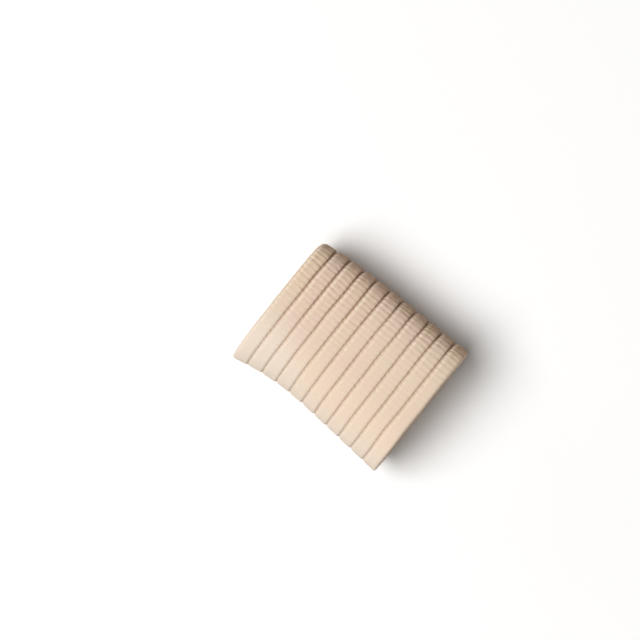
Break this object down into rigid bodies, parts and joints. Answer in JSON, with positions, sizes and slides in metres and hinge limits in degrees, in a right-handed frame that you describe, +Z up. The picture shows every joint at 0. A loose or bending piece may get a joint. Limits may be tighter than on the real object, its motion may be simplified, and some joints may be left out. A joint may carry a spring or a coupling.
{
  "type": "wrist support",
  "caption": "Pull-on wrist support: a short open tube of thick elastic cloth with raised ribs in rings round the wrist, resting on its palm side.",
  "frame": {"origin": "on the resting plane, under the middle of the sleeve", "axes": "+X along the sleeve from the hand end to the forearm end, +Y to the thumb side of a left wrist, +Z up to the back of the hand"},
  "size_m": [0.08, 0.067, 0.0471],
  "materials": {
    "elastic_cloth": "matt woven elastic cloth in a light skin beige, gathered along the ribs"
  },
  "bodies": {
    "root": {"ribbed_sleeve": "elastic_cloth"}
  },
  "joints": []
}
